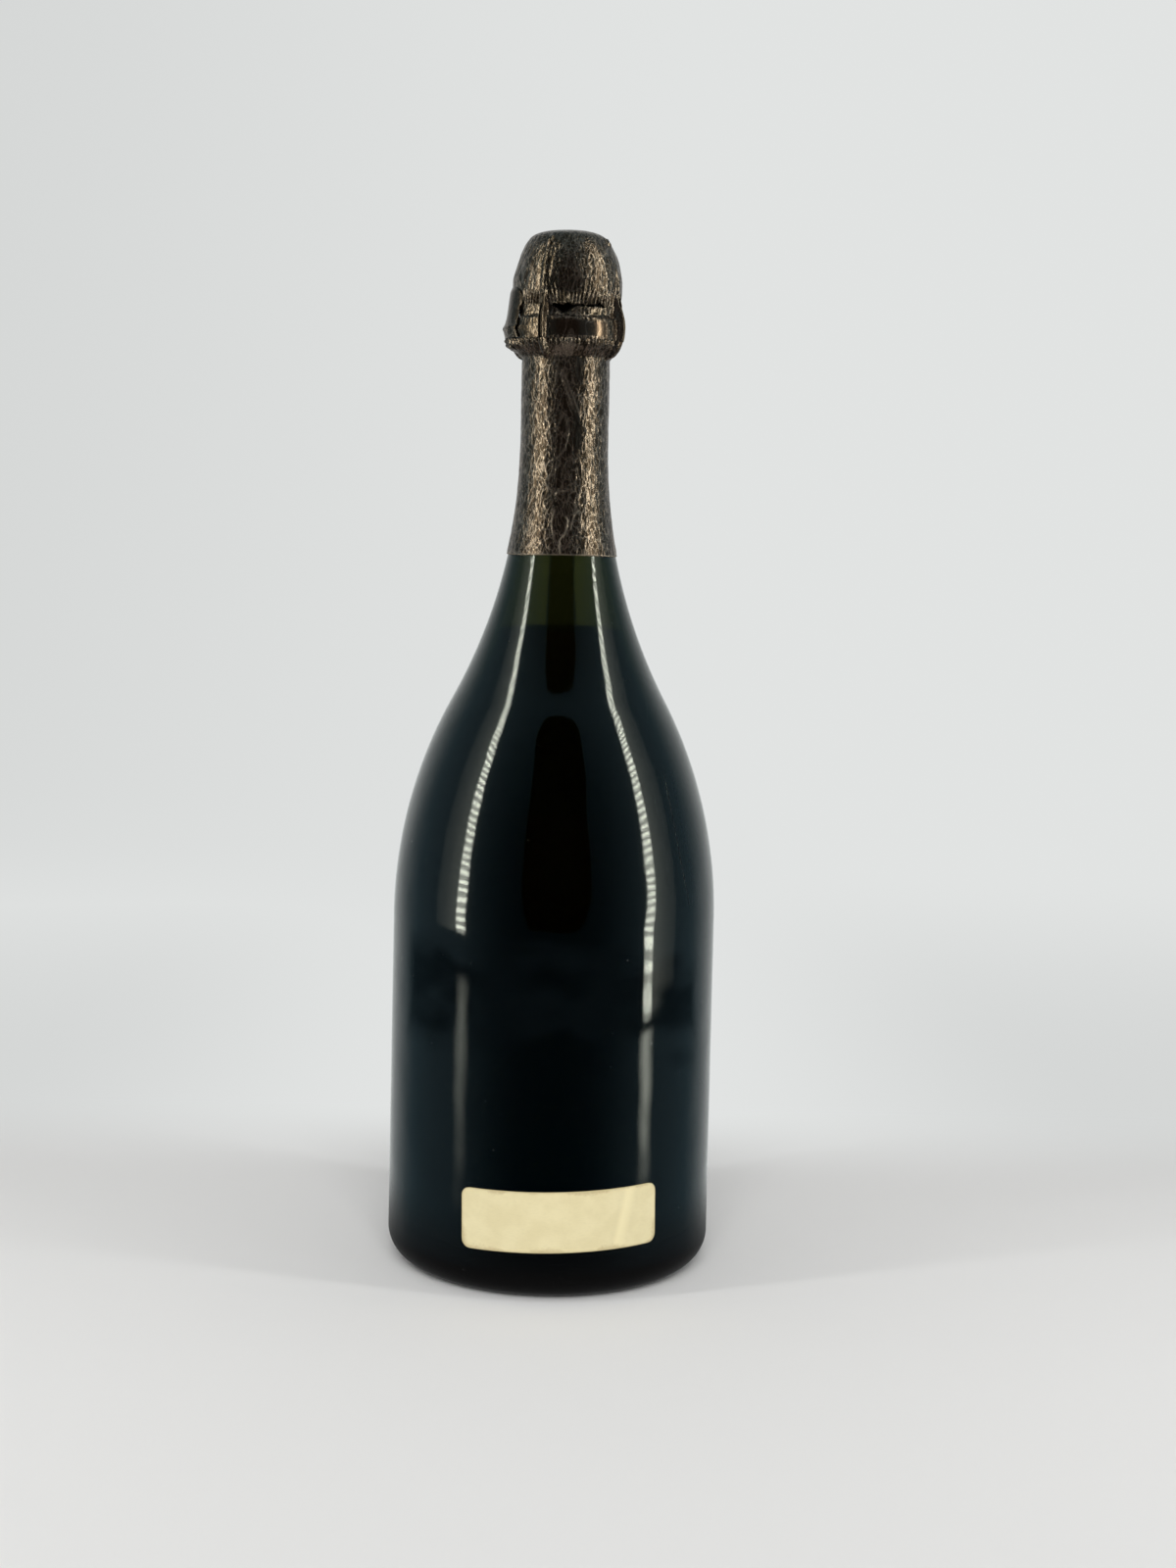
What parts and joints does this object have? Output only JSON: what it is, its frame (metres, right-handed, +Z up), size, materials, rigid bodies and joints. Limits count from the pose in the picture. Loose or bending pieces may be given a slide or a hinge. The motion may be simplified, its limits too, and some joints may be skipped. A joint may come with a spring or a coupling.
{
  "type": "champagne bottle",
  "caption": "Sealed dark green champagne bottle with a tapered shoulder, deep punt and bare back label, closed by a mushroom cork, wire muselet and bronze foil that lift off.",
  "frame": {"origin": "centre of the base, on the surface that the bottle stands on", "axes": "+Z up along the bottle's axis; the back label faces -Y; the muselet's eyelet is near -X"},
  "size_m": [0.095, 0.0953, 0.2999],
  "materials": {
    "green_glass": "polished dark green glass",
    "wine": "clear amber wine",
    "agglomerate_cork": "pressed cork granules",
    "natural_cork": "natural cork with pores",
    "tinplate": "lacquered tinplate",
    "steel_wire": "galvanised wire",
    "bronze_foil": "crinkled dark bronze foil",
    "label_paper": "aged uncoated cream paper"
  },
  "bodies": {
    "bottle": {"glass_bottle": "green_glass", "wine": "wine", "foil_collar": "bronze_foil", "back_label": "label_paper"},
    "cork": {"cork_body": "agglomerate_cork", "cork_disc_upper": "natural_cork", "cork_disc_lower": "natural_cork"},
    "muselet": {"muselet_cap": "tinplate", "muselet_frame": "steel_wire", "muselet_belt": "steel_wire"},
    "hood": {"foil_hood": "bronze_foil"},
    "eyelet": {"muselet_eyelet": "steel_wire", "foil_tear_tab": "bronze_foil"}
  },
  "joints": [
    {"name": "cork_pull", "type": "slide", "parent": "bottle", "child": "cork", "axis": [0, 0, 1], "range_m": [0, 0.045], "deforming": ["muselet_frame", "muselet_belt"]},
    {"name": "muselet_lift", "type": "slide", "parent": "cork", "child": "muselet", "axis": [0, 0, 1], "range_m": [0, 0.04], "deforming": ["muselet_frame", "muselet_belt"]},
    {"name": "hood_lift", "type": "slide", "parent": "muselet", "child": "hood", "axis": [0, 0, 1], "range_m": [0, 0.036]},
    {"name": "eyelet_fold", "type": "hinge", "parent": "muselet", "child": "eyelet", "pos_m": [-0.01793, -0.00381, 0.2689], "axis": [0.2079, -0.9781, 0], "range_deg": [0, 95]}
  ]
}
